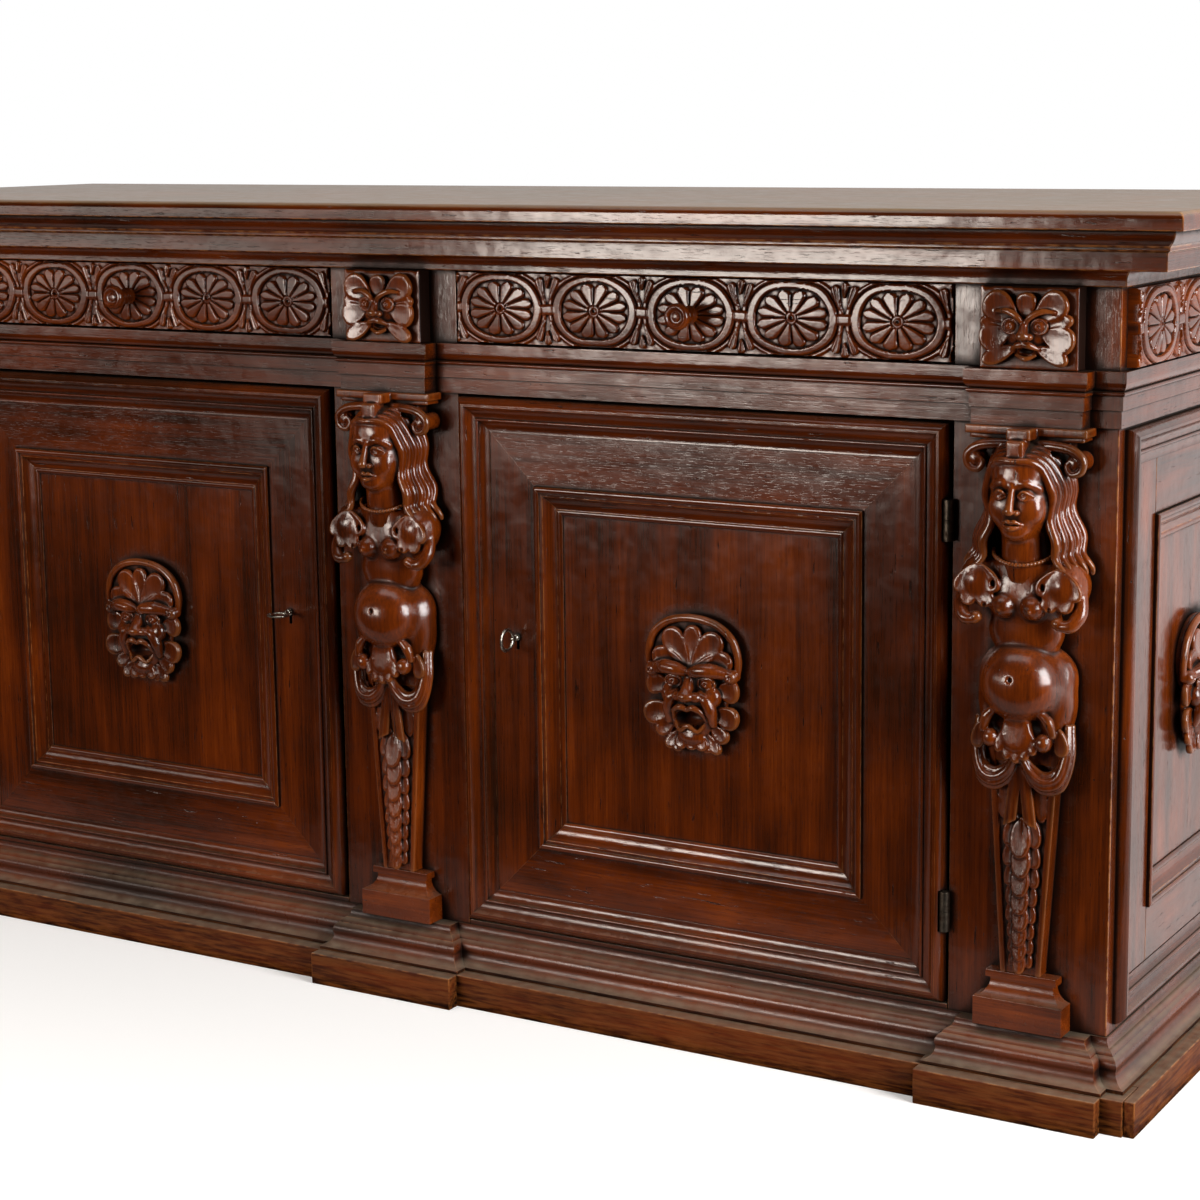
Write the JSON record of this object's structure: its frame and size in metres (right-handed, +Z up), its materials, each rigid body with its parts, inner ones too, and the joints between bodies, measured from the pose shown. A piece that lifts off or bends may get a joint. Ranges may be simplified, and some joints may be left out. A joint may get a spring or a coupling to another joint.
{
  "type": "credenza",
  "caption": "Long low carved walnut sideboard: panelled doors under rosette drawers, caryatid pilasters, moulded plinth and overhanging cornice top.",
  "frame": {"origin": "on the floor under the middle of the whole piece", "axes": "+X to the right along the front, +Y to the back, +Z up; the front faces -Y"},
  "size_m": [1.966, 0.666, 0.95],
  "materials": {
    "waxed_walnut": "old waxed walnut, satin to glossy, worn at the edges",
    "carved_walnut": "carved walnut, polished high spots and dark hollows",
    "plain_poplar": "unpolished aged secondary wood",
    "forged_iron": "dark hand-forged iron",
    "polished_steel": "handled bright steel"
  },
  "bodies": {
    "carcass": {"back_planks": "plain_poplar", "base_blocks": "waxed_walnut", "base_moulding": "waxed_walnut", "bottom_board": "plain_poplar", "centre_caryatid": "carved_walnut", "centre_frieze_mask": "carved_walnut", "centre_partition": "plain_poplar", "centre_post": "waxed_walnut", "cornice": "waxed_walnut", "drawer_runners": "plain_poplar", "dust_board": "plain_poplar", "front_rails": "waxed_walnut", "hinge_pins": "forged_iron", "left_caryatid": "carved_walnut", "left_frieze_mask": "carved_walnut", "left_post": "waxed_walnut", "plinth_blocks": "waxed_walnut", "plinth_boards": "waxed_walnut", "post_hinge_leaves": "forged_iron", "rear_posts": "plain_poplar", "right_caryatid": "carved_walnut", "right_frieze_mask": "carved_walnut", "right_post": "waxed_walnut", "shelves": "plain_poplar", "side_frames": "waxed_walnut", "side_friezes": "carved_walnut", "side_masks": "carved_walnut", "side_panel_mouldings": "waxed_walnut", "side_panels": "waxed_walnut", "side_rims": "waxed_walnut", "top_board": "waxed_walnut", "waist_blocks": "waxed_walnut", "waist_moulding": "waxed_walnut"},
    "left_door": {"left_door_frame": "waxed_walnut", "left_door_panel": "waxed_walnut", "left_door_rim": "waxed_walnut", "left_door_panel_moulding": "waxed_walnut", "left_door_mask": "carved_walnut", "left_door_hinge_leaves": "forged_iron", "left_lock_case": "forged_iron"},
    "left_drawer": {"left_drawer_front": "carved_walnut", "left_drawer_walls": "plain_poplar", "left_drawer_bottom": "plain_poplar", "left_drawer_knob": "carved_walnut"},
    "left_key": {"left_key": "polished_steel"},
    "left_bolt": {"left_lock_bolt": "forged_iron"},
    "right_door": {"right_door_frame": "waxed_walnut", "right_door_panel": "waxed_walnut", "right_door_rim": "waxed_walnut", "right_door_panel_moulding": "waxed_walnut", "right_door_mask": "carved_walnut", "right_door_hinge_leaves": "forged_iron", "right_lock_case": "forged_iron"},
    "right_drawer": {"right_drawer_front": "carved_walnut", "right_drawer_walls": "plain_poplar", "right_drawer_bottom": "plain_poplar", "right_drawer_knob": "carved_walnut"},
    "right_key": {"right_key": "polished_steel"},
    "right_bolt": {"right_lock_bolt": "forged_iron"}
  },
  "joints": [
    {"name": "left_door_hinge", "type": "hinge", "parent": "carcass", "child": "left_door", "pos_m": [-0.7105, -0.249, 0.411], "axis": [0, 0, -1], "range_deg": [0, 100]},
    {"name": "left_drawer_slide", "type": "slide", "parent": "carcass", "child": "left_drawer", "axis": [0, -1, 0], "range_m": [0, 0.38]},
    {"name": "left_key_turn", "type": "hinge", "parent": "left_door", "child": "left_key", "pos_m": [-0.1665, -0.242, 0.447], "axis": [0, -1, 0], "range_deg": [0, 180]},
    {"name": "left_bolt_throw", "type": "slide", "parent": "left_door", "child": "left_bolt", "axis": [1, 0, 0], "range_m": [0, 0.012]},
    {"name": "right_door_hinge", "type": "hinge", "parent": "carcass", "child": "right_door", "pos_m": [0.7105, -0.249, 0.411], "axis": [0, 0, 1], "range_deg": [0, 100]},
    {"name": "right_drawer_slide", "type": "slide", "parent": "carcass", "child": "right_drawer", "axis": [0, -1, 0], "range_m": [0, 0.38]},
    {"name": "right_key_turn", "type": "hinge", "parent": "right_door", "child": "right_key", "pos_m": [0.1665, -0.242, 0.447], "axis": [0, 1, 0], "range_deg": [0, 180]},
    {"name": "right_bolt_throw", "type": "slide", "parent": "right_door", "child": "right_bolt", "axis": [-1, 0, 0], "range_m": [0, 0.012]}
  ],
  "couplings": [
    {"joint": "left_key_turn", "follows": "left_bolt_throw", "rad_per_m": 261.79},
    {"joint": "right_key_turn", "follows": "right_bolt_throw", "rad_per_m": 261.79}
  ]
}
